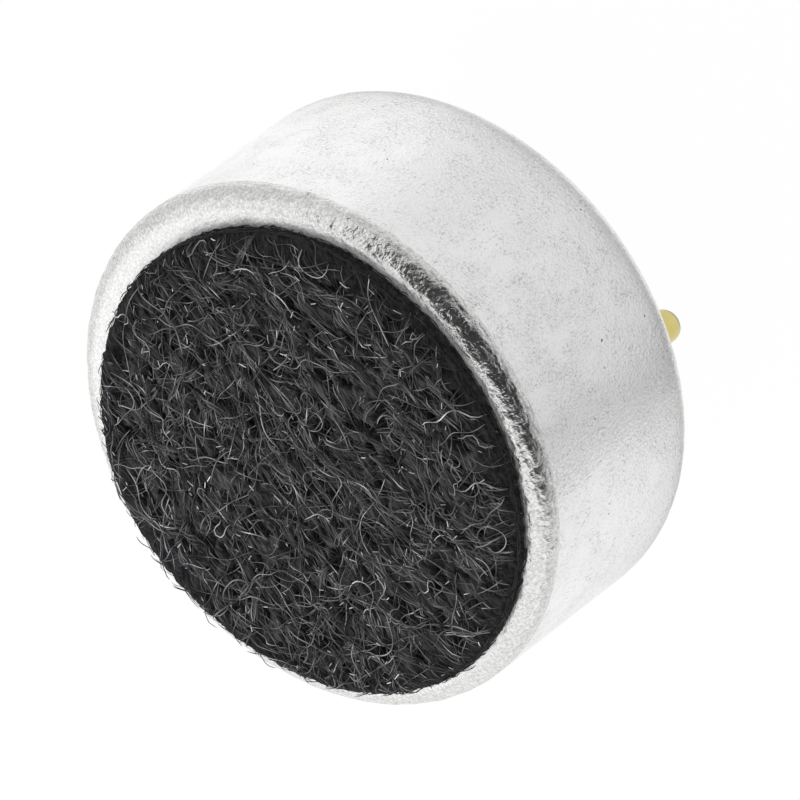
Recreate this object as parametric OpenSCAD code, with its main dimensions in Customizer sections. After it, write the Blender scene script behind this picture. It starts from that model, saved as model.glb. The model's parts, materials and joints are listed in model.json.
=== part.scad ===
// Electret microphone capsule: a drawn can with a felt dust cover and two terminal pins.
// Millimetres. The origin is on the can's axis at its rear seat, and +Z points to the felt.

/* [Can] */
// Outside diameter of the can
can_d = 9.7; // [9:0.1:12]
// Height of the can from its rear seat to its front face
can_h = 4.5; // [3.6:0.05:6]
// Thickness of the can's sheet
can_wall = 0.3; // [0.2:0.05:0.4]
// Outside radius of the drawn front shoulder
shoulder_r = 0.4; // [0.2:0.05:0.6]
// Inside radius of the drawn front corner
draw_r = 0.05; // [0.02:0.01:0.15]
// Outside radius of the crimped rear edge
crimp_r = 0.6; // [0.4:0.05:0.65]
// Thickness of the crimped lip
lip_t = 0.35; // [0.3:0.05:0.5]
// Reach of the crimped lip, in from the can's outside
lip_w = 1.15; // [1:0.05:1.4]
// Rounding of the lip's free edge
lip_edge_r = 0.15; // [0.05:0.05:0.25]
// Diameter of the sound port in the front face
port_d = 2; // [1:0.1:3]

/* [Felt] */
// Diameter of the felt dust cover
felt_d = 8.55; // [7:0.05:8.8]
// Thickness of the felt
felt_t = 0.5; // [0.2:0.05:0.8]
// Rounding of the felt's front edge
felt_edge_r = 0.1; // [0.05:0.01:0.15]
// Shift of the felt from the axis along X
felt_shift_x = 0.16; // [-0.2:0.01:0.2]
// Shift of the felt from the axis along Y
felt_shift_y = -0.15; // [-0.2:0.01:0.2]
// Thickness of the adhesive ring under the felt
adhesive_t = 0.05; // [0.02:0.01:0.1]
// Radial width of the adhesive ring
adhesive_w = 1.2; // [0.6:0.1:2]

/* [Diaphragm] */
// Thickness of the ring that carries the diaphragm
ring_t = 0.4; // [0.2:0.05:0.6]
// Radial width of that ring and of the spacer
ring_w = 0.8; // [0.6:0.05:1.2]
// Thickness of the diaphragm film
film_t = 0.0125; // [0.01:0.0025:0.03]
// Thickness of the spacer, which is the air gap
spacer_t = 0.04; // [0.02:0.01:0.1]

/* [Back plate] */
// Thickness of the charged film on the back plate
electret_t = 0.025; // [0.0125:0.0125:0.05]
// Thickness of the back plate
plate_t = 0.4; // [0.2:0.05:0.6]
// Diameter of the vents through the back plate
vent_d = 0.7; // [0.4:0.1:1]
// Diameter of the circle of vents
vent_pcd = 4.4; // [3:0.1:6]
// Number of vents
vent_count = 6; // [4:1:8]

/* [Plate holder] */
// Wall of the holder around the back plate
holder_wall = 0.4; // [0.3:0.05:0.6]
// Width of the ledge that carries the back plate
ledge_w = 0.6; // [0.3:0.05:0.8]
// Bevel on the holder's outside edges
holder_bevel = 0.1; // [0.05:0.01:0.15]
// Wall of the contact ring inside the holder
gate_wall = 0.3; // [0.2:0.05:0.5]

/* [Circuit board] */
// Thickness of the board
pcb_t = 0.6; // [0.4:0.1:1]
// Thickness of the copper foil
copper_t = 0.035; // [0.02:0.005:0.07]
// Bare margin at the board's rim
copper_margin = 0.15; // [0.1:0.05:0.3]
// Radial width of the ground ring on the rear face
ground_ring_w = 1; // [0.8:0.05:1.2]
// Diameter of the pads on the rear face
pad_d = 1.7; // [1.5:0.1:2]
// Diameter of the pads on the inner face
inner_pad_d = 1.2; // [1.2:0.05:1.4]
// Width of the copper tracks
track_w = 0.5; // [0.3:0.05:0.6]

/* [Transistor] */
// Length of the transistor's body
fet_l = 1.6; // [1.4:0.1:2]
// Width of the body
fet_w = 0.8; // [0.7:0.1:1.2]
// Height of the body
fet_h = 0.7; // [0.5:0.05:0.9]
// Draft of the body's sides
fet_draft = 0.06; // [0.02:0.01:0.1]
// Distance of the transistor from the axis
fet_y = 0.9; // [0.6:0.1:1.2]
// Gap under the body
fet_lift = 0.05; // [0.02:0.01:0.1]
// Distance between the two leads on one side
lead_pitch = 1; // [0.9:0.05:1.1]
// Width of a lead
lead_w = 0.25; // [0.2:0.05:0.35]
// Thickness of a lead
lead_t = 0.12; // [0.08:0.01:0.16]
// Straight run of a lead out of the body
lead_out = 0.1; // [0.05:0.05:0.2]
// Length of a lead's foot
lead_foot = 0.2; // [0.1:0.05:0.3]

/* [Capacitors] */
// Length of a chip capacitor
cap_l = 1; // [0.9:0.05:1.2]
// Width and height of a chip capacitor
cap_w = 0.5; // [0.4:0.05:0.6]
// Length of each plated end
cap_end = 0.25; // [0.15:0.05:0.35]
// Inset of the ceramic below the plated ends
cap_inset = 0.02; // [0.01:0.01:0.04]
// Distance between the two capacitors
cap_pitch = 1; // [0.8:0.05:1.2]

/* [Pins] */
// Diameter of the terminal pins
pin_d = 0.6; // [0.4:0.05:0.7]
// Distance between the pins
pin_pitch = 2.54; // [2:0.02:2.6]
// Distance of the pins' line from the axis
pin_offset = 1.87; // [1.5:0.01:2]
// Reach of the pins behind the rear seat
pin_reach = 2.95; // [1:0.05:6]
// Rounding of the pin tips
pin_tip_r = 0.2; // [0.05:0.05:0.2]
// Diameter of the collar that seats on the board
collar_d = 1; // [0.95:0.05:1.1]
// Thickness of the collar
collar_t = 0.12; // [0.1:0.01:0.15]
// Diameter of the tapered tail where it leaves the collar
tail_d = 0.5; // [0.4:0.02:0.54]
// Diameter of the tail under the riveted head
tail_end_d = 0.4; // [0.3:0.02:0.46]
// Diameter of the riveted head inside
head_d = 1; // [0.95:0.05:1.1]
// Height of the riveted head
head_t = 0.12; // [0.08:0.01:0.2]
// Width of the solder around the collar
solder_w = 0.3; // [0.2:0.05:0.35]
// Run of the solder along the pin past the collar
solder_run = 0.22; // [0.12:0.01:0.24]
// Thickness of the solder's edges
solder_edge = 0.03; // [0.02:0.01:0.05]
// Thickness of the solder at the collar's corner, where its two slopes meet
solder_waist = 0.06; // [0.04:0.01:0.1]

/* [Fits] */
// Radial gap between the can's bore and what is stacked in it
stack_gap = 0.05; // [0.02:0.01:0.1]
// Radial gap between the holder and the metal inside it
holder_gap = 0.03; // [0.02:0.01:0.06]
// Radial gap around the pins' tails in the board
tail_gap = 0.05; // [0.02:0.01:0.08]

/* [Hidden] */
$fn = 96;
// Overshoot of a cutting tool past the face that it opens
cut = 0.2;

// Radii
can_r = can_d / 2;
bore_r = can_r - can_wall;
lip_in_r = can_r - lip_w;
felt_r = felt_d / 2;
ring_r = bore_r - draw_r - stack_gap;
ring_in_r = ring_r - ring_w;
pcb_r = bore_r - stack_gap;
holder_r = bore_r - stack_gap;
pocket_r = holder_r - holder_wall;
ledge_r = pocket_r - ledge_w;
plate_r = pocket_r - holder_gap;
gate_r = ledge_r - holder_gap;
gate_in_r = gate_r - gate_wall;
ground_r = pcb_r - copper_margin;
ground_in_r = ground_r - ground_ring_w;
pin_r = pin_d / 2;
collar_r = collar_d / 2;
tail_hole_r = tail_d / 2 + tail_gap;

// Heights of the stack, from the crimped lip up to the board's inner foil
pcb_z = lip_t + copper_t;
pcb_top_z = pcb_z + pcb_t;
foil_top_z = pcb_top_z + copper_t;

// Heights of the stack, from the front face down to the back plate
front_z = can_h - can_wall;
ring_z = front_z - ring_t;
film_z = ring_z - film_t;
spacer_z = film_z - spacer_t;
electret_z = spacer_z - electret_t;
plate_z = electret_z - plate_t;

// Heights along a pin
collar_z = lip_t - collar_t;
solder_end_z = collar_z - solder_run;

// Places on the board
pin_angle = atan2(-pin_offset, pin_pitch / 2);
pin_circle_r = norm([pin_pitch / 2, pin_offset]);
track_x = lead_pitch / 2;
lead_reach = lead_out + lead_t + lead_foot;
fet_z = foil_top_z + fet_lift;

// A flat ring that stands on z
module flat_ring(outer_r, inner_r, z, h) {
    translate([0, 0, z])
        linear_extrude(h)
            difference() {
                circle(outer_r);
                circle(inner_r);
            }
}

// Half section of a disc whose front edge is rounded
module disc_section(r, h, edge_r) {
    square([r, h - edge_r]);
    square([r - edge_r, h]);
    translate([r - edge_r, h - edge_r])
        intersection() {
            circle(edge_r);
            square(edge_r);
        }
}

// Half section of the can's outside, with its shoulder and its crimped edge
module can_outside() {
    intersection() {
        disc_section(can_r, can_h, shoulder_r);
        translate([0, can_h])
            mirror([0, 1])
                disc_section(can_r, can_h, crimp_r);
    }
}

// Half section of what the can leaves open: its bore, the rear mouth and the sound port
module can_inside() {
    translate([0, lip_t])
        disc_section(bore_r, front_z - lip_t, draw_r);
    translate([0, -cut])
        square([lip_in_r, lip_t + 2 * cut]);
    translate([0, -cut])
        square([lip_in_r + lip_edge_r, lip_edge_r + cut]);
    translate([0, front_z - cut])
        square([port_d / 2, can_wall + 2 * cut]);
}

module can() {
    color([0.86, 0.86, 0.85])
        rotate_extrude() {
            difference() {
                can_outside();
                can_inside();
            }
            translate([lip_in_r + lip_edge_r, lip_edge_r])
                circle(lip_edge_r);
        }
}

// Sets the felt and its adhesive where the felt is stuck on
module at_felt() {
    translate([felt_shift_x, felt_shift_y, can_h])
        children();
}

module felt_disc() {
    color([0.15, 0.15, 0.16])
        at_felt()
            translate([0, 0, adhesive_t])
                rotate_extrude()
                    disc_section(felt_r, felt_t, felt_edge_r);
}

module felt_adhesive() {
    color([0.75, 0.72, 0.62])
        at_felt()
            flat_ring(felt_r, felt_r - adhesive_w, 0, adhesive_t);
}

module diaphragm_ring() {
    color([0.72, 0.62, 0.35])
        flat_ring(ring_r, ring_in_r, ring_z, ring_t);
}

module diaphragm_film() {
    color([0.83, 0.74, 0.45])
        translate([0, 0, film_z])
            cylinder(r = ring_r, h = film_t);
}

module spacer() {
    color([0.85, 0.88, 0.9])
        flat_ring(ring_r, ring_in_r, spacer_z, spacer_t);
}

// Outline of the back plate and its film, which are vented together
module plate_outline() {
    difference() {
        circle(plate_r);
        for (i = [0 : vent_count - 1])
            rotate(i * 360 / vent_count)
                translate([vent_pcd / 2, 0])
                    circle(d = vent_d);
    }
}

module electret_film() {
    color([0.9, 0.92, 0.95])
        translate([0, 0, electret_z])
            linear_extrude(electret_t)
                plate_outline();
}

module back_plate() {
    color([0.8, 0.66, 0.34])
        translate([0, 0, plate_z])
            linear_extrude(plate_t)
                plate_outline();
}

module plate_holder() {
    color([0.93, 0.92, 0.88])
        rotate_extrude()
            polygon([
                [ledge_r, pcb_top_z],
                [holder_r - holder_bevel, pcb_top_z],
                [holder_r, pcb_top_z + holder_bevel],
                [holder_r, spacer_z - holder_bevel],
                [holder_r - holder_bevel, spacer_z],
                [pocket_r, spacer_z],
                [pocket_r, plate_z],
                [ledge_r, plate_z]
            ]);
}

module gate_ring() {
    color([0.78, 0.64, 0.34])
        flat_ring(gate_r, gate_in_r, foil_top_z, plate_z - foil_top_z);
}

// Sets a shape at a pin: side -1 is the output, side 1 is the ground
module at_pin(side) {
    translate([side * pin_pitch / 2, -pin_offset, 0])
        children();
}

// Holes that the pins' tails pass through
module tail_holes() {
    for (side = [-1, 1])
        at_pin(side)
            circle(tail_hole_r);
}

module pcb() {
    color([0.16, 0.32, 0.2])
        translate([0, 0, pcb_z])
            linear_extrude(pcb_t)
                difference() {
                    circle(pcb_r);
                    tail_holes();
                }
}

// Track from a pin past the capacitors to the transistor's lead
module supply_track(side) {
    end_y = fet_y - fet_w / 2 - lead_out;
    at_pin(side)
        circle(d = inner_pad_d);
    translate([side * track_x - track_w / 2, -pin_offset - track_w / 2])
        square([track_w, end_y + pin_offset + track_w / 2]);
    translate([min(side * track_x, side * pin_pitch / 2), -pin_offset - track_w / 2])
        square([abs(pin_pitch / 2 - track_x), track_w]);
}

// Contact ring under the gate ring, with its track to the transistor's gate
module gate_track() {
    start_y = fet_y + fet_w / 2 + lead_out;
    difference() {
        circle(gate_r);
        circle(gate_in_r);
    }
    translate([-track_w / 2, start_y])
        square([track_w, gate_in_r + gate_wall / 2 - start_y]);
}

module inner_copper() {
    color([0.8, 0.5, 0.28])
        translate([0, 0, pcb_top_z])
            linear_extrude(copper_t)
                difference() {
                    union() {
                        gate_track();
                        for (side = [-1, 1])
                            supply_track(side);
                    }
                    tail_holes();
                }
}

module rear_copper() {
    color([0.82, 0.8, 0.74])
        translate([0, 0, lip_t])
            linear_extrude(copper_t)
                difference() {
                    union() {
                        difference() {
                            circle(ground_r);
                            circle(ground_in_r);
                        }
                        for (side = [-1, 1])
                            at_pin(side)
                                circle(d = pad_d);
                        rotate(pin_angle)
                            translate([pin_circle_r, -track_w / 2])
                                square([ground_in_r + ground_ring_w / 2 - pin_circle_r, track_w]);
                    }
                    tail_holes();
                }
}

module jfet_body() {
    side_y = fet_w / 2;
    low_z = (fet_h - lead_t) / 2;
    high_z = (fet_h + lead_t) / 2;
    color([0.12, 0.12, 0.13])
        translate([0, fet_y, fet_z])
            rotate([90, 0, 90])
                linear_extrude(fet_l, center = true)
                    polygon([
                        [fet_draft - side_y, 0],
                        [side_y - fet_draft, 0],
                        [side_y, low_z],
                        [side_y, high_z],
                        [side_y - fet_draft, fet_h],
                        [fet_draft - side_y, fet_h],
                        [-side_y, high_z],
                        [-side_y, low_z]
                    ]);
}

// One lead, bent down from the body's side to its foot on the foil
module lead() {
    exit_z = fet_lift + (fet_h - lead_t) / 2;
    bend_y = lead_out + lead_t;
    rotate([90, 0, 90])
        linear_extrude(lead_w, center = true)
            polygon([
                [0, exit_z],
                [lead_out, exit_z],
                [lead_out, 0],
                [lead_reach, 0],
                [lead_reach, lead_t],
                [bend_y, lead_t],
                [bend_y, exit_z + lead_t],
                [0, exit_z + lead_t]
            ]);
}

module jfet_leads() {
    color([0.78, 0.78, 0.76])
        translate([0, fet_y, foil_top_z]) {
            translate([0, fet_w / 2, 0])
                lead();
            for (side = [-1, 1])
                translate([side * track_x, -fet_w / 2, 0])
                    mirror([0, 1, 0])
                        lead();
        }
}

// Sets a capacitor across the two tracks: the first lies between the pins
module at_capacitor(i) {
    translate([0, i * cap_pitch - pin_offset, foil_top_z + cap_w / 2])
        children();
}

module capacitor_body() {
    ceramic_w = cap_w - 2 * cap_inset;
    cube([cap_l - 2 * cap_end, ceramic_w, ceramic_w], center = true);
}

module capacitor_ends() {
    for (side = [-1, 1])
        translate([side * (cap_l - cap_end) / 2, 0, 0])
            cube([cap_end, cap_w, cap_w], center = true);
}

module capacitor_a() {
    color([0.7, 0.58, 0.42])
        at_capacitor(0)
            capacitor_body();
}

module capacitor_a_ends() {
    color([0.8, 0.8, 0.78])
        at_capacitor(0)
            capacitor_ends();
}

module capacitor_b() {
    color([0.7, 0.58, 0.42])
        at_capacitor(1)
            capacitor_body();
}

module capacitor_b_ends() {
    color([0.8, 0.8, 0.78])
        at_capacitor(1)
            capacitor_ends();
}

// A turned pin: round tip, shank, collar under the board, tapered tail and riveted head
module pin() {
    translate([0, 0, -pin_reach])
        rotate_extrude()
            translate([0, pin_reach + collar_z])
                mirror([0, 1])
                    disc_section(pin_r, pin_reach + collar_z, pin_tip_r);
    translate([0, 0, collar_z])
        cylinder(r = collar_r, h = collar_t);
    translate([0, 0, lip_t])
        cylinder(d1 = tail_d, d2 = tail_end_d, h = foil_top_z - lip_t);
    translate([0, 0, foil_top_z])
        cylinder(d = head_d, h = head_t);
}

module output_pin() {
    color([0.84, 0.72, 0.4])
        at_pin(-1)
            pin();
}

module ground_pin() {
    color([0.84, 0.72, 0.4])
        at_pin(1)
            pin();
}

// A solder cone of two slopes, from the pad over the collar to the pin
module solder_cone() {
    rotate_extrude()
        polygon([
            [pin_r, solder_end_z],
            [pin_r + solder_edge, solder_end_z],
            [collar_r + solder_waist, collar_z],
            [collar_r + solder_w, lip_t - solder_edge],
            [collar_r + solder_w, lip_t],
            [collar_r, lip_t],
            [collar_r, collar_z],
            [pin_r, collar_z]
        ]);
}

module output_solder() {
    color([0.75, 0.76, 0.77])
        at_pin(-1)
            solder_cone();
}

module ground_solder() {
    color([0.75, 0.76, 0.77])
        at_pin(1)
            solder_cone();
}

can();
felt_disc();
felt_adhesive();
diaphragm_ring();
diaphragm_film();
spacer();
electret_film();
back_plate();
plate_holder();
gate_ring();
pcb();
inner_copper();
rear_copper();
jfet_body();
jfet_leads();
capacitor_a();
capacitor_a_ends();
capacitor_b();
capacitor_b_ends();
output_pin();
ground_pin();
output_solder();
ground_solder();
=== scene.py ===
"""Looks of an electret microphone capsule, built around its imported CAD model.

Lengths are in millimetres until a mesh or a lamp is made. The CAD frame has its origin on the
can's axis at the rear seat, and +Z points to the felt.
"""
import json
import math

import bpy
import numpy as np
from mathutils import Matrix, Vector, noise


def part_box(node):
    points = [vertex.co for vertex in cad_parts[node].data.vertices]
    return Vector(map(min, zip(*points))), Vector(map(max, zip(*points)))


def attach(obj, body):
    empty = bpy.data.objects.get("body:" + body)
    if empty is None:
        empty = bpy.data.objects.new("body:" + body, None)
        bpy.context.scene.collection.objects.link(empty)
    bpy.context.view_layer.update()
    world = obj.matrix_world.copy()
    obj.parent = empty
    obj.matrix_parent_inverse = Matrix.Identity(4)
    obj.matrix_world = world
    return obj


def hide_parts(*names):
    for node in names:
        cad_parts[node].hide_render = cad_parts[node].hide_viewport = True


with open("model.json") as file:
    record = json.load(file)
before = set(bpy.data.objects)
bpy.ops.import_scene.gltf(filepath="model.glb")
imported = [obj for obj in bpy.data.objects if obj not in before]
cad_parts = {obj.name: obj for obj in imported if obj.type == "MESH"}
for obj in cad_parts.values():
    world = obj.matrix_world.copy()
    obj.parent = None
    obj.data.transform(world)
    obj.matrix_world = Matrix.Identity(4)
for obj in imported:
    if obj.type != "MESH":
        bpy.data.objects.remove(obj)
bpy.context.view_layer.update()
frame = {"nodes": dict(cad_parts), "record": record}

MM = 0.001
SEED = 7
mounts = {m["name"]: m for m in frame["record"]["mounts"]}

# The can, with the same forms as its solid
CAN_R = mounts["barrel"]["dims"]["r_mm"]
CAN_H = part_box("can")[1].z / MM
CAN_WALL = 0.3
SHOULDER_R = 0.4
DRAW_R = 0.05
CRIMP_R = 0.6
CRIMP_FADE = 0.7
LIP_T = 0.35
LIP_W = 1.15
LIP_EDGE_R = 0.15
PORT_R = 1.0
CAN_SEGMENTS = 1200
# Its crinkles: how wide round the can, how wide along its section, how high, and where in the noise
CRINKLES = [(0.24, 0.11, 0.013, 0), (0.11, 0.05, 0.005, 40)]

# The felt
felt_low, felt_high = (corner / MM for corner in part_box("felt_disc"))
FELT_CENTRE = (felt_low + felt_high) / 2
FELT_R = (felt_high.x - felt_low.x) / 2
FELT_LOW, FELT_TOP = felt_low.z, felt_high.z
FELT_DEPTH = 0.11  # from the felt's top to the mat's face
FELT_ROUND = 0.18  # radius of the worn edge
FELT_FLOW = 0.12  # radians that the fibres' heading turns in each millimetre of X
FELT_HILL = 0.025
FELT_HOLLOW = 0.15
FELT_RAGGED = 0.03
# Where its edge has crept outwards, in radians from +X, and how far
FELT_CREEP = [(0.6, 0.07), (2.8, 0.14)]
# Where it is pressed down near its edge, in radians from +X, how narrowly and how deep
FELT_PRESS = [(-0.65, 2, 0.24), (0.9, 4, 0.28)]
FELT_PRESS_W = 0.5
FIBRE_STEP = 0.1
FIBRE_SIDES = 4
FIBRE_GAIN = 1.2  # on the tones of the fibres that lie on the felt's face

# The pins and their solder
PIN_R = mounts["terminal_pins"]["dims"]["stud_r_mm"]
PIN_PITCH = mounts["terminal_pins"]["dims"]["spacing_x_mm"]
PIN_Y = mounts["terminal_pins"]["pos_m"][1] / MM
PIN_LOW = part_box("ground_pin")[0].z / MM
PIN_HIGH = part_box("ground_pin")[1].z / MM
PIN_TIP_R = 0.2
COLLAR_R = 0.5
COLLAR_T = 0.12
TAIL_R = (0.25, 0.2)
HEAD_R = 0.5
HEAD_T = 0.12
SOLDER_W = 0.3
SOLDER_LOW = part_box("ground_solder")[0].z / MM
SOLDER_EDGE = 0.03

# The photograph's camera: where it looks, from where, and which way is up in the picture
CAMERA_TARGET = Vector((-0.0276, -0.1868, 2.0296))
CAMERA_BACK = Vector((0.73182, 0, 0.68149))
CAMERA_UP = Vector((0.40633, 0.80281, -0.43634))
CAMERA_DISTANCE = 178.84
CAMERA_LENS = 476.11
SENSOR_WIDTH = 36


def node_tree(name):
    """A new material, its node tree and its Principled shader."""
    material = bpy.data.materials.new(name)
    material.use_nodes = True
    tree = material.node_tree
    return material, tree, tree.nodes["Principled BSDF"]


def add(tree, kind, **inputs):
    """A new node; inputs are values, or sockets to link, by the name of the input."""
    node = tree.nodes.new(kind)
    for name, value in inputs.items():
        socket = node.inputs[name.replace("_", " ")]
        if isinstance(value, bpy.types.NodeSocket):
            tree.links.new(value, socket)
        else:
            socket.default_value = value
    return node


def place(tree, stretch=(1, 1, 1), turn=0.0):
    """Texture coordinates in millimetres of the object, turned about Z and then stretched."""
    where = tree.nodes.new("ShaderNodeTexCoord").outputs["Object"]
    where = add(tree, "ShaderNodeMapping", Vector=where, Rotation=(0, 0, turn)).outputs["Vector"]
    scale = [s / MM for s in stretch]
    return add(tree, "ShaderNodeMapping", Vector=where, Scale=scale).outputs["Vector"]


def grain(tree, size, detail=2.0, stretch=(1, 1, 1), rough=0.5, turn=0.0):
    """Noise from 0 to 1 with features of about that size in millimetres."""
    where = place(tree, stretch, turn)
    made = add(tree, "ShaderNodeTexNoise", Vector=where, Scale=1 / size, Detail=detail, Roughness=rough)
    return made.outputs["Fac"]


def ramp(tree, value, low, high, out_low=0.0, out_high=1.0):
    """The value taken from one range to another, held at its ends."""
    node = tree.nodes.new("ShaderNodeMapRange")
    tree.links.new(value, node.inputs["Value"])
    ends = {"From Min": low, "From Max": high, "To Min": out_low, "To Max": out_high}
    for name, number in ends.items():
        node.inputs[name].default_value = number
    return node.outputs["Result"]


def product(tree, a, b):
    """The product of two sockets."""
    node = tree.nodes.new("ShaderNodeMath")
    node.operation = "MULTIPLY"
    tree.links.new(a, node.inputs[0])
    tree.links.new(b, node.inputs[1])
    return node.outputs[0]


def ridges(tree, value, width):
    """Ridges from 0 to 1 along the lines where noise crosses its middle."""
    return product(tree, ramp(tree, value, 0.5 - width, 0.5), ramp(tree, value, 0.5, 0.5 + width, 1, 0))


def attribute(tree, name):
    """A number kept on the mesh's points."""
    node = tree.nodes.new("ShaderNodeAttribute")
    node.attribute_name = name
    return node.outputs["Fac"]


def blend_colour(tree, factor, a, b):
    """Colour a where the factor is 0 and colour b where it is 1."""
    node = tree.nodes.new("ShaderNodeMix")
    node.data_type = "RGBA"
    tree.links.new(factor, node.inputs["Factor"])
    for name, value in (("A", a), ("B", b)):
        socket = next(s for s in node.inputs if s.name == name and s.type == "RGBA")
        if isinstance(value, bpy.types.NodeSocket):
            tree.links.new(value, socket)
        else:
            socket.default_value = (*value, 1)
    return next(s for s in node.outputs if s.type == "RGBA")


def bump(tree, height, depth, below=None):
    """Bump of that depth in millimetres, laid over another bump."""
    node = add(tree, "ShaderNodeBump", Height=height, Distance=depth * MM)
    if below is not None:
        tree.links.new(below, node.inputs["Normal"])
    return node.outputs["Normal"]


def plain_finish(name, colour, dark, roughness, metallic=0.0, size=0.08, depth=0.002):
    """A material whose roughness and surface vary with a fine grain, and its colour with a coarse one."""
    material, tree, shader = node_tree(name)
    fine = grain(tree, size)
    cloudy = grain(tree, size * 12, detail=3.0)
    tree.links.new(blend_colour(tree, cloudy, dark, colour), shader.inputs["Base Color"])
    spread = ramp(tree, fine, 0.3, 0.7, roughness - 0.08, roughness + 0.08)
    tree.links.new(spread, shader.inputs["Roughness"])
    tree.links.new(bump(tree, fine, depth), shader.inputs["Normal"])
    shader.inputs["Metallic"].default_value = metallic
    return material


def can_finish():
    """Satin aluminium with patches of grain, specks and pits, crinkled where it was drawn and darker there:
    partly the worked metal's dullness, partly painted shade for the darker surroundings that the shoulder and
    crimp mirror.
    """
    material, tree, shader = node_tree("can_aluminium")
    worked = attribute(tree, "worked")
    matt = attribute(tree, "matt")
    frost = grain(tree, 0.05, detail=2.0, rough=0.6)
    specks = grain(tree, 0.045, detail=2.0, stretch=(1, 1, 0.7), rough=0.6)
    crinkles = grain(tree, 0.16, detail=1.5)
    folds = ridges(tree, grain(tree, 0.15, detail=2.0), 0.08)
    folds = product(tree, folds, ramp(tree, grain(tree, 0.3), 0.46, 0.6))
    clusters = ramp(tree, grain(tree, 0.4, detail=3.0), 0.4, 0.62, 0.25, 1)
    pits = grain(tree, 0.12, detail=1.0)
    cloudy = grain(tree, 0.35, detail=3.0)
    patches = ramp(tree, grain(tree, 0.8, detail=4.0), 0.38, 0.62, 0.5, 1)
    dull_and_shaded = blend_colour(tree, ramp(tree, frost, 0.36, 0.62), (0.64, 0.635, 0.63), (0.90, 0.895, 0.89))
    colour = blend_colour(tree, ramp(tree, cloudy, 0.3, 0.7), (0.95, 0.945, 0.945), (0.985, 0.98, 0.98))
    # Painted shade: where worked, the colour darkens to stand for the darker surroundings mirrored by the
    # shoulder and crimp, with the worked metal's dullness.
    colour = blend_colour(tree, worked, colour, dull_and_shaded)
    marks = product(tree, ramp(tree, specks, 0.54, 0.68, 0, 0.65), clusters)
    colour = blend_colour(tree, marks, colour, (0.5, 0.49, 0.48))
    colour = blend_colour(tree, ramp(tree, pits, 0.77, 0.80, 0, 0.85), colour, (0.1, 0.1, 0.1))
    tree.links.new(colour, shader.inputs["Base Color"])
    tree.links.new(ramp(tree, matt, 0, 1, 0.16, 0.34), shader.inputs["Roughness"])
    tree.links.new(ramp(tree, matt, 0.4, 1, 1, 0.35), shader.inputs["Metallic"])
    frosted = product(tree, patches, ramp(tree, worked, 0, 1, 1, 0.6))
    normal = bump(tree, product(tree, frost, frosted), 0.018)
    normal = bump(tree, product(tree, specks, frosted), 0.006, normal)
    normal = bump(tree, product(tree, crinkles, worked), 0.020, normal)
    normal = bump(tree, product(tree, folds, worked), 0.004, normal)
    tree.links.new(normal, shader.inputs["Normal"])
    return material


def mat_finish():
    """The felt's matted ground, with painted shade in its hollows and towards its edge."""
    material, tree, shader = node_tree("felt_depth")
    strands = grain(tree, 0.05, detail=3.0, stretch=(1, 0.2, 0.4), turn=0.25)
    others = grain(tree, 0.05, detail=3.0, stretch=(1, 0.2, 0.4), turn=-0.45)
    colour = blend_colour(tree, ramp(tree, strands, 0.42, 0.7), (0.016, 0.016, 0.017), (0.075, 0.075, 0.078))
    colour = blend_colour(tree, ramp(tree, others, 0.5, 0.72, 0, 0.7), colour, (0.09, 0.09, 0.094))
    # Painted shade: the dark attribute darkens the mat in its hollows and towards its rolled edge.
    deep = ramp(tree, attribute(tree, "dark"), 0, 1, 0, 0.85)
    colour = blend_colour(tree, deep, colour, (0.006, 0.006, 0.007))
    tree.links.new(colour, shader.inputs["Base Color"])
    normal = bump(tree, strands, 0.03)
    normal = bump(tree, others, 0.03, normal)
    tree.links.new(normal, shader.inputs["Normal"])
    shader.inputs["Roughness"].default_value = 0.9
    shader.inputs["Specular IOR Level"].default_value = 0.1
    return material


def fibre_finish():
    """Black polyester fibres, each with its own tone, which varies along it; the shade attribute also carries
    painted glints and painted shade.
    """
    material, tree, shader = node_tree("felt_fibre")
    streak = grain(tree, 0.05, detail=2.0)
    colour = blend_colour(tree, attribute(tree, "shade"), (0.004, 0.004, 0.005), (0.97, 0.98, 1.0))
    tree.links.new(colour, shader.inputs["Base Color"])
    tree.links.new(ramp(tree, streak, 0.3, 0.7, 0.35, 0.55), shader.inputs["Roughness"])
    tree.links.new(bump(tree, streak, 0.002), shader.inputs["Normal"])
    shader.inputs["Specular IOR Level"].default_value = 0.2
    return material


def gold_finish():
    """Thin gold plate on a turned pin: fine rings from the lathe, paler worn patches, and painted shade that
    darkens its tip.
    """
    material, tree, shader = node_tree("gold_plate")
    rings = grain(tree, 0.03, stretch=(0.1, 0.1, 1))
    worn = grain(tree, 0.3, detail=3.0)
    height = add(tree, "ShaderNodeSeparateXYZ", Vector=place(tree)).outputs["Z"]
    colour = blend_colour(tree, ramp(tree, worn, 0.4, 0.7), (0.68, 0.57, 0.20), (0.74, 0.65, 0.33))
    # Painted shade: the tip is darkened for the dark floor beneath the can that it mirrors.
    tip_shade = ramp(tree, height, PIN_LOW + 0.16, PIN_LOW + 0.10, 0, 0.85)
    colour = blend_colour(tree, tip_shade, colour, (0.20, 0.15, 0.06))
    tree.links.new(colour, shader.inputs["Base Color"])
    tree.links.new(ramp(tree, worn, 0.3, 0.7, 0.18, 0.32), shader.inputs["Roughness"])
    tree.links.new(bump(tree, rings, 0.0015), shader.inputs["Normal"])
    shader.inputs["Metallic"].default_value = 1
    return material


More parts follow.
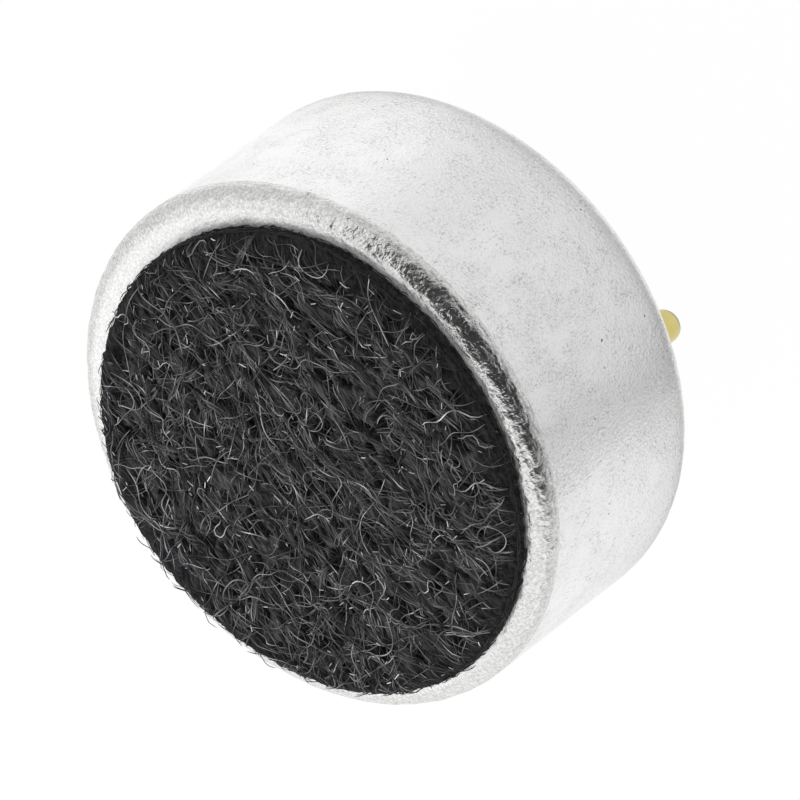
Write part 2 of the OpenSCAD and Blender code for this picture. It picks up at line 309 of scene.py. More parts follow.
def board_finish():
    """Green solder resist, through which the glass weave shows."""
    material, tree, shader = node_tree("board")
    threads = []
    for direction in ("X", "Y"):
        bands = add(tree, "ShaderNodeTexWave", Vector=place(tree), Scale=0.9, Distortion=0.6)
        bands.bands_direction = direction
        threads.append(ramp(tree, bands.outputs["Fac"], 0, 1, 0.2, 1))
    weave = product(tree, *threads)
    cloudy = grain(tree, 0.9, detail=3.0)
    colour = blend_colour(tree, cloudy, (0.02, 0.13, 0.05), (0.035, 0.18, 0.075))
    colour = blend_colour(tree, ramp(tree, weave, 0.1, 0.9, 0, 0.45), colour, (0.06, 0.24, 0.1))
    tree.links.new(colour, shader.inputs["Base Color"])
    tree.links.new(ramp(tree, cloudy, 0.3, 0.7, 0.22, 0.34), shader.inputs["Roughness"])
    tree.links.new(bump(tree, weave, 0.003), shader.inputs["Normal"])
    return material


def new_piece(name, points, faces, material, smooth=True):
    """A mesh object from points in millimetres."""
    mesh = bpy.data.meshes.new(name)
    mesh.from_pydata((np.asarray(points) * MM).tolist(), [], faces)
    mesh.polygons.foreach_set("use_smooth", [smooth] * len(mesh.polygons))
    mesh.materials.append(material)
    mesh.update()
    piece = bpy.data.objects.new(name, mesh)
    bpy.context.scene.collection.objects.link(piece)
    return piece


def keep_numbers(piece, name, numbers):
    """Keep one number for each point of a piece, for its material."""
    layer = piece.data.attributes.new(name, "FLOAT", "POINT")
    layer.data.foreach_set("value", np.asarray(numbers, np.float32))


def line(a, b, steps):
    """Points from a towards b, without b."""
    share = np.arange(steps)[:, None] / steps
    return np.array(a) + share * (np.array(b) - np.array(a))


def arc(centre, radius, start, end, steps):
    """Points on an arc between two angles in degrees, without its end."""
    angle = np.radians(start + (end - start) * np.arange(steps) / steps)
    return np.array(centre) + radius * np.column_stack([np.cos(angle), np.sin(angle)])


def turned(section, segments, closed):
    """Points and faces of a section (r, z) turned about Z. An open section starts and ends on the axis."""
    angle = np.arange(segments) * 2 * math.pi / segments
    rings = section if closed else section[1:-1]
    points = np.empty((len(rings), segments, 3))
    points[..., 0] = rings[:, :1] * np.cos(angle)
    points[..., 1] = rings[:, :1] * np.sin(angle)
    points[..., 2] = rings[:, 1:]
    row = np.arange(segments)
    following = np.roll(row, -1)
    faces = []
    for i in range(len(rings) - (0 if closed else 1)):
        a, b = i * segments, (i + 1) % len(rings) * segments
        faces += np.column_stack([a + row, a + following, b + following, b + row]).tolist()
    points = points.reshape(-1, 3)
    if not closed:
        first, last = len(points), len(points) + 1
        top = (len(rings) - 1) * segments
        ends = [[0, 0, section[0][1]], [0, 0, section[-1][1]]]
        points = np.vstack([points, ends])
        faces += [[first, j, i] for i, j in zip(row.tolist(), following.tolist())]
        faces += [[last, top + i, top + j] for i, j in zip(row.tolist(), following.tolist())]
    return points, faces


def can_section():
    """Rows of the can's section (r, z), how far each was worked and carries painted shade, and how matt it
    is, both from 0 to 1.
    """
    bore_r = CAN_R - CAN_WALL
    front_z = CAN_H - CAN_WALL
    lip_in_r = CAN_R - LIP_W
    fade_z = CRIMP_R + CRIMP_FADE
    edge_z = CAN_H - SHOULDER_R
    plain_z = edge_z - 0.05
    hidden_r = FELT_R - 0.2
    matt_from = 62
    parts = [
        (line((lip_in_r + LIP_EDGE_R, 0), (CAN_R - CRIMP_R, 0), 2), (0.3, 0.4), (0.2, 0.2)),
        (arc((CAN_R - CRIMP_R, CRIMP_R), CRIMP_R, -90, 0, 10), (0.4, 0.3), (0.2, 0.15)),
        (line((CAN_R, CRIMP_R), (CAN_R, fade_z), 4), (0.3, 0.05), (0.1, 0)),
        (line((CAN_R, fade_z), (CAN_R, plain_z), 3), (0, 0), (0, 0)),
        (line((CAN_R, plain_z), (CAN_R, edge_z), 2), (0, 0.7), (0, 0.1)),
        (arc((CAN_R - SHOULDER_R, edge_z), SHOULDER_R, 0, matt_from, 25), (1, 1), (0.15, 0.15)),
        (arc((CAN_R - SHOULDER_R, edge_z), SHOULDER_R, matt_from, 90, 11), (1, 0.85), (0.15, 0.95)),
        (line((CAN_R - SHOULDER_R, CAN_H), (hidden_r, CAN_H), 6), (0.85, 0.7), (1, 1)),
        (line((hidden_r, CAN_H), (PORT_R, CAN_H), 1), (0, 0), (1, 1)),
        (line((PORT_R, CAN_H), (PORT_R, front_z), 1), (0, 0), (0, 0)),
        (line((PORT_R, front_z), (bore_r - DRAW_R, front_z), 1), (0, 0), (0, 0)),
        (arc((bore_r - DRAW_R, front_z - DRAW_R), DRAW_R, 90, 0, 3), (0, 0), (0, 0)),
        (line((bore_r, front_z - DRAW_R), (bore_r, LIP_T), 1), (0, 0), (0, 0)),
        (line((bore_r, LIP_T), (lip_in_r, LIP_T), 1), (0, 0), (0, 0)),
        (line((lip_in_r, LIP_T), (lip_in_r, LIP_EDGE_R), 1), (0, 0), (0, 0)),
        (arc((lip_in_r + LIP_EDGE_R, LIP_EDGE_R), LIP_EDGE_R, 180, 270, 5), (0.1, 0.3), (0.2, 0.2)),
    ]
    section = np.vstack([points for points, _, _ in parts])
    worked = np.concatenate([np.linspace(*ends, len(points)) for points, ends, _ in parts])
    matt = np.concatenate([np.linspace(*ends, len(points)) for points, _, ends in parts])
    return section, worked, matt


def build_can():
    """The drawn can, with the crinkles that drawing left on its shoulder."""
    section, worked, matt = can_section()
    points, faces = turned(section, CAN_SEGMENTS, closed=True)
    ahead = np.roll(section, -1, axis=0) - section
    run = np.concatenate([[0], np.cumsum(np.linalg.norm(ahead, axis=1))[:-1]])
    slope = np.roll(section, -1, axis=0) - np.roll(section, 1, axis=0)
    slope /= np.linalg.norm(slope, axis=1)[:, None]
    grid = points.reshape(len(section), CAN_SEGMENTS, 3)
    for i in np.nonzero(worked > 0.25)[0]:
        for j in range(CAN_SEGMENTS):
            x, y, _ = grid[i, j]
            out = Vector((x, y, 0)).normalized()
            turn = out * CAN_R
            heights = [
                high * noise.noise(Vector((turn.x / wide, turn.y / wide, shift + run[i] / narrow)))
                for wide, narrow, high, shift in CRINKLES
            ]
            lift = worked[i] * sum(heights)
            grid[i, j] += (lift * out.x * slope[i, 1], lift * out.y * slope[i, 1], -lift * slope[i, 0])
    can = new_piece("can_shell", grid.reshape(-1, 3), faces, can_finish())
    # The worked share also places the painted shade in the can's colour.
    keep_numbers(can, "worked", np.repeat(worked, CAN_SEGMENTS))
    keep_numbers(can, "matt", np.repeat(matt, CAN_SEGMENTS))
    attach(can, "root")
    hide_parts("can")


def hollow(x, y):
    """How far a place of the felt lies between its bundles, from 0 to 1."""
    turn = FELT_FLOW * x
    across = x * math.cos(turn) + y * math.sin(turn)
    along = y * math.cos(turn) - x * math.sin(turn)
    depth = noise.noise(Vector((across / 0.17, along / 0.45, 17)))
    depth += 0.5 * noise.noise(Vector((across / 0.09, along / 0.2, 5)))
    rim = min(1, max(0, (FELT_R - math.hypot(x, y)) / 0.4))
    return rim * min(1, max(0, (depth - 0.02) / 0.3))


def edge_radius(turn):
    """How far the felt's edge lies from its centre in a direction; it has crept outwards in two places."""
    radius = FELT_R
    for towards, reach in FELT_CREEP:
        radius = radius + reach * np.clip(np.cos(turn - towards), 0, 1) ** 8
    return radius


def pressed(x, y):
    """How far the felt is pressed down near its edge, which is most in two directions."""
    past = np.clip((np.hypot(x, y) - FELT_R + FELT_PRESS_W) / FELT_PRESS_W, 0, 1)
    turn = np.arctan2(y, x)
    depth = 0
    for towards, power, deepest in FELT_PRESS:
        depth = np.maximum(depth, deepest * np.clip(np.cos(turn - towards), 0, 1) ** power)
    return past**2 * depth


def build_felt_mat():
    """The felt's body: a matted pad with an uneven face and a worn, rounded edge."""
    face_z = FELT_TOP - FELT_DEPTH
    top = line((0, face_z), (FELT_R - FELT_ROUND, face_z), 95)
    edge = arc((FELT_R - FELT_ROUND, face_z - FELT_ROUND), FELT_ROUND, 90, 0, 8)
    side = line((FELT_R, face_z - FELT_ROUND), (FELT_R, FELT_LOW), 5)
    section = np.vstack([top, edge, side, [[FELT_R, FELT_LOW], [FELT_R / 2, FELT_LOW], [0, FELT_LOW]]])
    points, faces = turned(section[::-1], 640, closed=False)
    hollows = np.array([hollow(x, y) for x, y, _ in points])
    for i, (x, y, z) in enumerate(points):
        away = math.hypot(x, y)
        if z > FELT_LOW + 0.01:
            hill = noise.noise(Vector((x / 0.12, y / 0.2, 9)))
            lift = FELT_HILL * hill - FELT_HOLLOW * hollows[i] - pressed(x, y)
            points[i, 2] += lift * (z - FELT_LOW) / (face_z - FELT_LOW)
        if away > FELT_R - 0.1:
            ragged = noise.noise(Vector((x / 0.12, y / 0.12, z / 0.2)))
            ragged += noise.noise(Vector((x / 0.05, y / 0.05, z / 0.1)))
            crept = edge_radius(math.atan2(y, x)) - FELT_R
            points[i, :2] *= 1 + (FELT_RAGGED * ragged + crept) / away
    # Painted shade towards the felt's rolled edge, joined with the painted shade of the hollows.
    edge_shade = np.clip((np.hypot(points[:, 0], points[:, 1]) - FELT_R + 0.5) / 0.3, 0, 0.7)
    points += (FELT_CENTRE.x, FELT_CENTRE.y, 0)
    mat = new_piece("felt_mat", points, faces, mat_finish())
    keep_numbers(mat, "dark", np.maximum(hollows, edge_shade))
    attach(mat, "root")
    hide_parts("felt_disc")


def waves(rng, run, parts):
    """A smooth random wave along a run; each part is its shortest and longest period and its strength."""
    total = np.zeros(len(run))
    for shortest, longest, strength in parts:
        turn = 2 * math.pi * (run / rng.uniform(shortest, longest) + rng.uniform())
        total += rng.normal(0, strength) * np.sin(turn)
    return total


def plan_path(rng, length, spread, wave, curl=0.0, step=FIBRE_STEP):
    """Plan points of a fibre through a random place of the felt, mostly along Y, and the run along it."""
    run = np.arange(-length / 2, length / 2 + step, step)
    away = FELT_R * math.sqrt(rng.uniform())
    turn = rng.uniform(0, 2 * math.pi)
    middle = np.array((away * math.cos(turn), away * math.sin(turn)))
    heading = math.pi / 2 + FELT_FLOW * middle[0] + rng.normal(0, spread)
    heading = heading + curl * run * (1 + waves(rng, run, ((0.5, 1.5, 0.3),)))
    heading = heading + waves(rng, run, ((2.5, 6, wave), (0.7, 1.8, wave / 2), (0.45, 0.9, wave / 3)))
    plan = np.cumsum(np.column_stack([np.cos(heading), np.sin(heading)]), axis=0) * step
    return plan - plan[len(plan) // 2] + middle, run


def settle(plan, height):
    """A path at that height, lower where the felt's edge is rounded or pressed down."""
    x, y = plan.T
    past = (np.hypot(x, y) - edge_radius(np.arctan2(y, x))) / (1.5 * FELT_ROUND) + 1
    return np.column_stack([plan, height - 0.8 * FELT_ROUND * np.clip(past, 0, 1) ** 2 - pressed(x, y)])


def inside_felt(path, margin):
    """Which points of a path to keep: the run about its middle that stays inside the felt's edge."""
    x, y, _ = path.T
    inside = np.hypot(x, y) < edge_radius(np.arctan2(y, x)) + margin
    middle = len(path) // 2
    if not inside[middle]:
        return slice(0, 0)
    outside = np.nonzero(~inside)[0]
    first = max(outside[outside < middle], default=-1) + 1
    last = min(outside[outside > middle], default=len(path))
    return slice(first, last)


def shades_along(rng, run, tone, painted_glint):
    """A fibre's tone at each point, with short bright stretches that are painted glints."""
    beat = np.sin(2 * math.pi * (run / rng.uniform(0.5, 1.4) + rng.uniform()))
    beat = beat * np.sin(2 * math.pi * (run / rng.uniform(1.1, 3.0) + rng.uniform()))
    dim = 1 + 0.55 * np.sin(2 * math.pi * (run / rng.uniform(0.4, 1.6) + rng.uniform()))
    return np.clip(FIBRE_GAIN * tone * (dim + painted_glint * np.clip(beat, 0, 1) ** 4), 0, 0.9)


def bundle_fibres(rng, count, members, low, high, tones, painted_glint):
    """Bundles of fibres that follow one another along a guide and spread at its ends."""
    made = []
    for _ in range(count):
        length = rng.uniform(1.8, 5.0)
        guide, run = plan_path(rng, length, 0.5, 0.38)
        along = np.gradient(guide, axis=0)
        along /= np.linalg.norm(along, axis=1)[:, None]
        across = np.column_stack([-along[:, 1], along[:, 0]])
        floor_z = rng.uniform(low, high)
        lift = waves(rng, run, ((0.8, 2.5, 0.04),))
        fan = 0.4 + (2 * np.abs(run) / length) ** 2
        for _ in range(rng.integers(*members)):
            shift = fan * rng.normal(0, 0.07) + waves(rng, run, ((0.8, 2.4, 0.05),))
            height = floor_z + lift + rng.normal(0, 0.015) + waves(rng, run, ((0.5, 1.6, 0.025),))
            plan = guide + across * shift[:, None]
            hidden = np.array([hollow(x, y) for x, y in plan])
            path = settle(plan, height - 0.08 * hidden)
            shade = shades_along(rng, run, rng.uniform(*tones), painted_glint * rng.uniform() ** 2)
            # Painted shade: the fibre is darker where it dips into a hollow.
            shade *= 1 - 0.85 * hidden
            first = int(len(path) * rng.uniform(0, 0.35))
            last = int(len(path) * rng.uniform(0.65, 1))
            path, shade = path[first:last], shade[first:last]
            keep = inside_felt(path, rng.uniform(-0.05, 0.02))
            made.append((path[keep], shade[keep]))
    return made


def single_fibres(rng, count, lengths, spread, wave, low, high, tones, painted_glint, curls=None):
    """Fibres that lie alone, and curl where radii of curls are given."""
    made = []
    step = min(FIBRE_STEP if curls is None else FIBRE_STEP / 2, lengths[0] / 3)
    for _ in range(count):
        curl = 0.0 if curls is None else rng.choice((-1, 1)) / rng.uniform(*curls)
        plan, run = plan_path(rng, rng.uniform(*lengths), spread, wave, curl, step)
        height = rng.uniform(low, high) + waves(rng, run, ((0.8, 3, 0.4 * (high - low)),))
        path = settle(plan, height)
        shade = shades_along(rng, run, rng.uniform(*tones), painted_glint * rng.uniform())
        keep = inside_felt(path, rng.uniform(-0.05, 0.06))
        made.append((path[keep], shade[keep]))
    return made


def edge_fibres(rng, count, lengths, reach, tones):
    """Short fibres that stand off the felt's cut side and lie over its foot."""
    made = []
    for _ in range(count):
        length = rng.uniform(*lengths)
        share = np.linspace(0, 1, max(4, int(length / 0.07)))
        sweep = rng.choice((-1, 1)) * length / FELT_R * rng.uniform(0.5, 1)
        turn = rng.uniform(0, 2 * math.pi) + sweep * share
        away = edge_radius(turn) - 0.02 + reach * rng.uniform(-0.3, 1) * np.sin(share * rng.uniform(1.5, 3))
        x, y = away * np.cos(turn), away * np.sin(turn)
        drop = rng.normal(-0.05, 0.3) * length * share
        height = rng.uniform(FELT_LOW - 0.03, FELT_TOP - 0.2) + drop
        height = np.clip(height, CAN_H + 0.015, FELT_TOP - 0.1 - pressed(x, y))
        path = np.column_stack([x, y, height])
        made.append((path, np.full(len(path), rng.uniform(*tones))))
    return made


def tube(path, radius, sides, start):
    """Points and faces of a thin tube along a path, with its ends drawn in; start is its first index."""
    along = np.gradient(path, axis=0)
    along /= np.linalg.norm(along, axis=1)[:, None]
    across = np.cross(along, (0, 0, 1))
    across /= np.linalg.norm(across, axis=1)[:, None] + 1e-9
    above = np.cross(across, along)
    width = np.full(len(path), radius)
    width[[0, -1]] *= 0.5
    angle = np.arange(sides) * 2 * math.pi / sides
    ring = across[:, None] * np.cos(angle)[:, None] + above[:, None] * np.sin(angle)[:, None]
    points = path[:, None] + ring * width[:, None, None]
    row = np.arange(sides)
    following = np.roll(row, -1)
    base = start + np.arange(len(path) - 1)[:, None] * sides
    faces = np.stack([base + row, base + following, base + sides + following, base + sides + row], axis=-1)
    ends = [(start + row[::-1]).tolist(), (start + (len(path) - 1) * sides + row).tolist()]
    return points.reshape(-1, 3), faces.reshape(-1, 4).tolist() + ends


def build_fibres(name, fibres, radii, rng, material):
    """One piece of many fibres, each with its own thickness and its own shades."""
    points, faces, shades = [], [], []
    count = 0
    for path, shade in fibres:
        if len(path) < 4:
            continue
        made, sheet = tube(path, rng.uniform(*radii), FIBRE_SIDES, count)
        count += len(made)
        points.append(made)
        faces += sheet
        shades.append(np.repeat(shade, FIBRE_SIDES))
    points = np.vstack(points) + (FELT_CENTRE.x, FELT_CENTRE.y, 0)
    piece = new_piece(name, points, faces, material)
    keep_numbers(piece, "shade", np.concatenate(shades))
    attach(piece, "root")


def build_felt_fibres():
    """Layers of fibres over the mat, from dark and deep to pale and loose, and fibres round its edge; the
    deeper layers' darker tones are painted shade.
    """
    rng = np.random.default_rng(SEED)
    material = fibre_finish()
    top = FELT_TOP
    deep = single_fibres(rng, 200, (1.2, 4.0), 0.9, 0.5, top - 0.17, top - 0.10, (0.008, 0.035), 1.0)
    deep += bundle_fibres(rng, 70, (4, 9), top - 0.13, top - 0.08, (0.015, 0.06), 2.0)
    middle = bundle_fibres(rng, 85, (4, 9), top - 0.11, top - 0.05, (0.02, 0.125), 9.0)
    middle += single_fibres(rng, 280, (0.5, 2.4), 1.3, 0.4, top - 0.11, top - 0.04, (0.02, 0.13), 6.0)
    # Short pale specks: painted glints on the felt's face.
    middle += single_fibres(rng, 500, (0.05, 0.16), 0.9, 0.5, top - 0.09, top - 0.03, (0.1, 0.6), 0.0)
    upper = bundle_fibres(rng, 60, (2, 6), top - 0.09, top - 0.02, (0.035, 0.16), 9.0)
    upper += single_fibres(rng, 300, (0.3, 1.6), 1.3, 0.5, top - 0.1, top - 0.02, (0.025, 0.13), 6.0)
    loose = single_fibres(rng, 34, (0.6, 1.8), 1.2, 0.7, top - 0.06, top, (0.04, 0.2), 2.0, (0.15, 0.5))
    loose += single_fibres(rng, 100, (0.4, 1.8), 0.8, 1.1, top - 0.06, top, (0.06, 0.32), 2.0)
    loose += single_fibres(rng, 14, (0.5, 1.0), 3.0, 2.5, top - 0.04, top - 0.01, (0.15, 0.35), 1.0)
    # The edge fibres' low tones are painted shade of the felt's rolled edge.
    edge = edge_fibres(rng, 1500, (0.15, 0.5), 0.06, (0.008, 0.024))
    edge += edge_fibres(rng, 16, (0.2, 0.6), 0.12, (0.03, 0.12))
    thin, thick = (0.005, 0.010), (0.006, 0.012)
    build_fibres("fibres_deep", deep, thin, rng, material)
    build_fibres("fibres_mid", middle, thin, rng, material)
    build_fibres("fibres_top", upper, thick, rng, material)
    build_fibres("fibres_loose", loose, thick, rng, material)
    build_fibres("fibres_edge", edge, thin, rng, material)


def pin_section():
    """Section of a turned pin, from its tip to its riveted head."""
    seat_z = LIP_T
    head_z = PIN_HIGH - HEAD_T
    tip = arc((PIN_R - PIN_TIP_R, PIN_LOW + PIN_TIP_R), PIN_TIP_R, -90, 0, 12)
    rest = [
        (PIN_R, PIN_LOW + PIN_TIP_R),
        (PIN_R, seat_z - COLLAR_T),
        (COLLAR_R, seat_z - COLLAR_T),
        (COLLAR_R, seat_z),
        (TAIL_R[0], seat_z),
        (TAIL_R[1], head_z),
        (HEAD_R, head_z),
        (HEAD_R, PIN_HIGH),
        (0, PIN_HIGH),
    ]
    return np.vstack([[(0, PIN_LOW)], tip, rest])


def solder_section():
    """Section of a solder cone with a hollow side."""
    collar_z = LIP_T - COLLAR_T
    foot = np.array((COLLAR_R + SOLDER_W, LIP_T - SOLDER_EDGE))
    tip = np.array((PIN_R + SOLDER_EDGE, SOLDER_LOW))
    knee = np.array((COLLAR_R + 2 * SOLDER_EDGE, collar_z))
    share = np.linspace(0, 1, 14)[:, None]
    side = (1 - share) ** 2 * tip + 2 * share * (1 - share) * knee + share**2 * foot
    rest = [
        (foot[0], LIP_T),
        (COLLAR_R, LIP_T),
        (COLLAR_R, collar_z),
        (PIN_R, collar_z),
        (PIN_R, SOLDER_LOW),
    ]
    return np.vstack([side, rest])


def build_pins():
    """The two terminal pins and their solder."""
    gold = gold_finish()
    solder = plain_finish("solder", (0.78, 0.79, 0.8), (0.62, 0.63, 0.64), 0.22, metallic=1, size=0.15)
    for name, x in (("output", -PIN_PITCH / 2), ("ground", PIN_PITCH / 2)):
        points, faces = turned(pin_section(), 64, closed=False)
        pin = new_piece(name + "_pin_turned", points + (x, PIN_Y, 0), faces, gold)
        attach(pin, "root")
        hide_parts(name + "_pin")
        points, faces = turned(solder_section(), 64, closed=True)
        cone = new_piece(name + "_solder_cone", points + (x, PIN_Y, 0), faces, solder)
        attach(cone, "root")
        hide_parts(name + "_solder")


def finish_cad_nodes():
    """Materials for the CAD nodes that stay as they are."""
    adhesive = plain_finish("adhesive", (0.1, 0.1, 0.1), (0.07, 0.07, 0.07), 0.6)
    brass = plain_finish("ring_brass", (0.78, 0.64, 0.34), (0.68, 0.54, 0.27), 0.3, metallic=1)
    film = plain_finish("metallised_film", (0.84, 0.76, 0.48), (0.78, 0.7, 0.42), 0.16, metallic=1)
    clear = plain_finish("clear_film", (0.85, 0.88, 0.9), (0.78, 0.8, 0.83), 0.25)
    holder = plain_finish("holder_plastic", (0.9, 0.89, 0.85), (0.84, 0.83, 0.78), 0.45)
    foil = plain_finish("foil", (0.82, 0.48, 0.28), (0.72, 0.4, 0.22), 0.35, metallic=1)
    tinned = plain_finish("tinned", (0.78, 0.77, 0.74), (0.64, 0.63, 0.6), 0.3, metallic=1)
    chip = plain_finish("chip_plastic", (0.03, 0.03, 0.032), (0.02, 0.02, 0.021), 0.5)
    ceramic = plain_finish("ceramic", (0.5, 0.38, 0.24), (0.42, 0.31, 0.19), 0.5)
    finishes = {
        "felt_adhesive": adhesive,
        "diaphragm_ring": brass,
        "diaphragm_film": film,
        "spacer": clear,
        "electret_film": clear,
        "back_plate": brass,
        "plate_holder": holder,
        "gate_ring": brass,
        "pcb": board_finish(),
        "inner_copper": foil,
        "rear_copper": tinned,
        "jfet_body": chip,
        "jfet_leads": tinned,
        "capacitor_a": ceramic,
        "capacitor_a_ends": tinned,
        "capacitor_b": ceramic,
        "capacitor_b_ends": tinned,
    }
    for name, material in finishes.items():
        slots = frame["nodes"][name].data.materials
        slots.clear()
        slots.append(material)


def seen_directly(tree, camera, mirrored):
    """A share for camera and transmission rays, another for glossy rays, and 0 for the rest."""
    path = tree.nodes.new("ShaderNodeLightPath").outputs
    total = None
    shares = {"Is Camera Ray": camera, "Is Transmission Ray": camera, "Is Glossy Ray": mirrored}
    for ray, share in shares.items():
        node = tree.nodes.new("ShaderNodeMath")
        node.operation = "MULTIPLY_ADD"
        tree.links.new(path[ray], node.inputs[0])
        node.inputs[1].default_value = share
        if total is not None:
            tree.links.new(total, node.inputs[2])
        else:
            node.inputs[2].default_value = 0
        total = node.outputs[0]
    return total


def build_floor():
    """A pale floor under the pins, open from below so that the rear can be looked at."""
    size = 300
    corners = [(-size, -size, PIN_LOW), (size, -size, PIN_LOW), (size, size, PIN_LOW), (-size, size, PIN_LOW)]
    material, tree, shader = node_tree("floor")
    material.cycles.emission_sampling = "NONE"
    shader.inputs["Base Color"].default_value = (0.85, 0.85, 0.85, 1)
    shader.inputs["Roughness"].default_value = 1
    shader.inputs["Specular IOR Level"].default_value = 0
    white = add(tree, "ShaderNodeEmission", Strength=1.0)
    pale = tree.nodes.new("ShaderNodeMixShader")
    tree.links.new(seen_directly(tree, 0.985, 0.85), pale.inputs[0])
    tree.links.new(shader.outputs[0], pale.inputs[1])
    tree.links.new(white.outputs[0], pale.inputs[2])
    sides = tree.nodes.new("ShaderNodeMixShader")
    tree.links.new(tree.nodes.new("ShaderNodeNewGeometry").outputs["Backfacing"], sides.inputs[0])
    tree.links.new(pale.outputs[0], sides.inputs[1])
    tree.links.new(tree.nodes.new("ShaderNodeBsdfTransparent").outputs[0], sides.inputs[2])
    tree.links.new(sides.outputs[0], tree.nodes["Material Output"].inputs["Surface"])
    new_piece("floor", corners, [[0, 1, 2, 3]], material, smooth=False)


def build_world():
    """White to the camera and in reflections, and softer as a light."""
    world = bpy.data.worlds.new("studio")
    bpy.context.scene.world = world
    world.use_nodes = True
    tree = world.node_tree
    background = tree.nodes["Background"]
    background.inputs["Color"].default_value = (1, 1, 1, 1)
    level = tree.nodes.new("ShaderNodeMapRange")
    tree.links.new(seen_directly(tree, 1.0, 1.0), level.inputs["Value"])
    level.inputs["To Min"].default_value = 0.8
    tree.links.new(level.outputs["Result"], background.inputs["Strength"])


def reflection_sheet(name, points, faces, levels):
    """A stage piece that glows only in reflections, as a painted reflection, at a level kept for each of its
    points.

    It casts no light and no shadow.
    """
    material, tree, _ = node_tree(name)
    material.cycles.emission_sampling = "NONE"
    glow = add(tree, "ShaderNodeEmission", Strength=attribute(tree, "level"))
    tree.links.new(glow.outputs[0], tree.nodes["Material Output"].inputs["Surface"])
    piece = new_piece(name, points, faces, material, smooth=False)
    keep_numbers(piece, "level", levels)
    piece.visible_camera = False
    piece.visible_diffuse = False
    piece.visible_shadow = False


def sheet_faces(rows, columns):
    """Faces of a sheet whose points were made row by row."""
    corners = [i * columns + j for i in range(rows - 1) for j in range(columns - 1)]
    return [[a, a + 1, a + 1 + columns, a + columns] for a in corners]


def build_dark_room():
    """A painted reflection of the unlit room behind the camera, which the can's shoulder mirrors; its sides
    lean and fade.

    Each row of sides is a rise, the turns of the right and the left side there, in degrees, and the
    darkest level. Each fade is a turn inwards from a side and the level there.
    """
    away = CAMERA_DISTANCE + 15
    sides = [(-6, -58, 30, 0.04), (20, -58, 34, 0.04), (40, -46, 42, 0.04), (60, -40, 56, 0.04)]
    sides += [(76, -34, 100, 0.05), (88, -34, 100, 0.22)]
    fades = [(-22, 1.0), (-8, 0.5), (6, 0.06)]
    points, levels = [], []
    for rise, right, left, darkest in sides:
        steps = [(right + turn, level) for turn, level in fades] + [((right + left) / 2, 0.04)]
        steps += [(left - turn, level) for turn, level in reversed(fades)]
        for turn, level in steps:
            flat = math.cos(math.radians(rise))
            x, y = flat * math.cos(math.radians(turn)), flat * math.sin(math.radians(turn))
            out = Vector((x, y, math.sin(math.radians(rise))))
            points.append(CAMERA_TARGET + away * out)
            levels.append(max(level, darkest))
    reflection_sheet("dark_room", points, sheet_faces(len(sides), 2 * len(fades) + 1), levels)


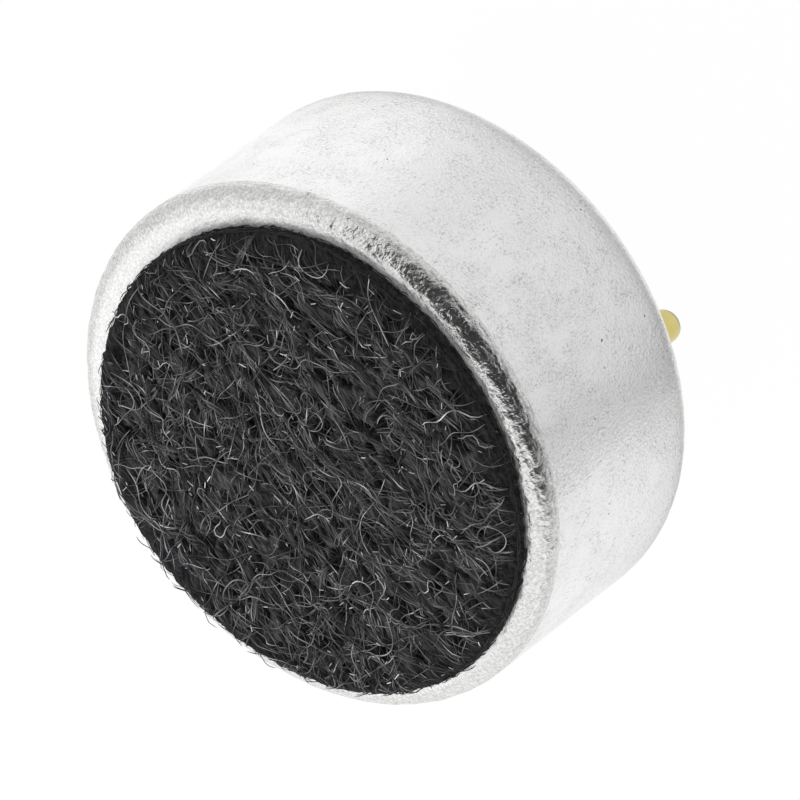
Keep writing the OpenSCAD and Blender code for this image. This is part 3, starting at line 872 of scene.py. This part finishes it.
def build_table():
    """A painted reflection of a greyer table, which the can's wall mirrors, laid out along the rays that
    leave its wall.

    Each shade is the angle of a place on the wall, and the table's level at three reaches from that
    place. Each reach has a share of the level, lower beside the can as painted shade.
    """
    level_at = (8.5, 16, 150)
    shades = [(-90, 0.95, 0.95, 0.95), (-75, 0.95, 0.95, 0.95), (-60, 0.91, 0.88, 0.88)]
    shades += [(-46, 0.87, 0.76, 0.66), (-37, 0.84, 0.62, 0.42), (-35.5, 0.57, 0.50, 0.36)]
    shades += [(-29, 0.57, 0.45, 0.20), (-22, 0.72, 0.46, 0.10), (0, 0.79, 0.48, 0.22)]
    shades += [(20, 0.81, 0.66, 0.42), (36, 0.86, 0.70, 0.66), (40, 1.0, 0.74, 0.74), (52, 1.0, 0.74, 0.74)]
    shades += [(64, 1.0, 0.82, 0.74), (76, 1.05, 0.92, 0.84), (90, 1.05, 1.0, 0.97)]
    reaches = [(0, 0.66), (2.4, 0.7), (3.6, 0.85), (5, 1), (8.5, 1), (16, 1), (150, 1)]
    points, levels = [], []
    for angle, near, middle, far in shades:
        turn = math.radians(angle)
        foot = CAN_R * np.array((math.cos(turn), math.sin(turn)))
        ray = np.array((math.cos(2 * turn), math.sin(2 * turn)))
        for reach, share in reaches:
            points.append((*(foot + reach * ray), PIN_LOW + 0.05))
            levels.append(share * np.interp(reach, level_at, (near, middle, far)))
    reflection_sheet("table", points, sheet_faces(len(shades), len(reaches)), levels)


def build_grey_wall():
    """A painted reflection of a grey wall on the far side, which the can's shoulder mirrors, paler towards
    its left.
    """
    turns = np.linspace(70, 165, 12)
    away = 150
    points, levels = [], []
    for turn in turns:
        level = np.interp(turn, (135, 165), (0.74, 0.97))
        x, y = away * math.cos(math.radians(turn)), away * math.sin(math.radians(turn))
        points += [(x, y, PIN_LOW), (x, y, 40), (x, y, 90)]
        levels += [level, level, max(level, 0.95)]
    reflection_sheet("grey_wall", points, sheet_faces(len(turns), 3), levels)


def add_lamp(name, towards, distance, size, radiance):
    """A square area lamp that looks at the part; its power grows with its area, times the radiance."""
    data = bpy.data.lights.new(name, "AREA")
    data.size = size * MM
    data.energy = radiance * math.pi * (size * MM) ** 2
    lamp = bpy.data.objects.new(name, data)
    lamp.visible_glossy = False
    direction = Vector(towards).normalized()
    lamp.location = (CAMERA_TARGET + direction * distance) * MM
    lamp.rotation_mode = "QUATERNION"
    lamp.rotation_quaternion = direction.to_track_quat("Z", "Y")
    bpy.context.scene.collection.objects.link(lamp)


def build_camera():
    """The photograph's viewpoint."""
    data = bpy.data.cameras.new("photo_camera")
    data.lens = CAMERA_LENS
    data.sensor_width = SENSOR_WIDTH
    data.clip_start = 0.001
    data.clip_end = 10
    camera = bpy.data.objects.new("photo_camera", data)
    right = CAMERA_UP.cross(CAMERA_BACK)
    turn = Matrix((right, CAMERA_UP, CAMERA_BACK)).transposed().to_4x4()
    camera.matrix_world = Matrix.Translation((CAMERA_TARGET + CAMERA_BACK * CAMERA_DISTANCE) * MM) @ turn
    bpy.context.scene.collection.objects.link(camera)
    bpy.context.scene.camera = camera


build_can()
build_felt_mat()
build_felt_fibres()
build_pins()
finish_cad_nodes()
build_floor()
build_world()
build_dark_room()
build_table()
build_grey_wall()
add_lamp("key", towards=(-0.68, -0.12, 0.72), distance=150, size=110, radiance=5)
build_camera()
bpy.context.scene.view_settings.view_transform = "Standard"
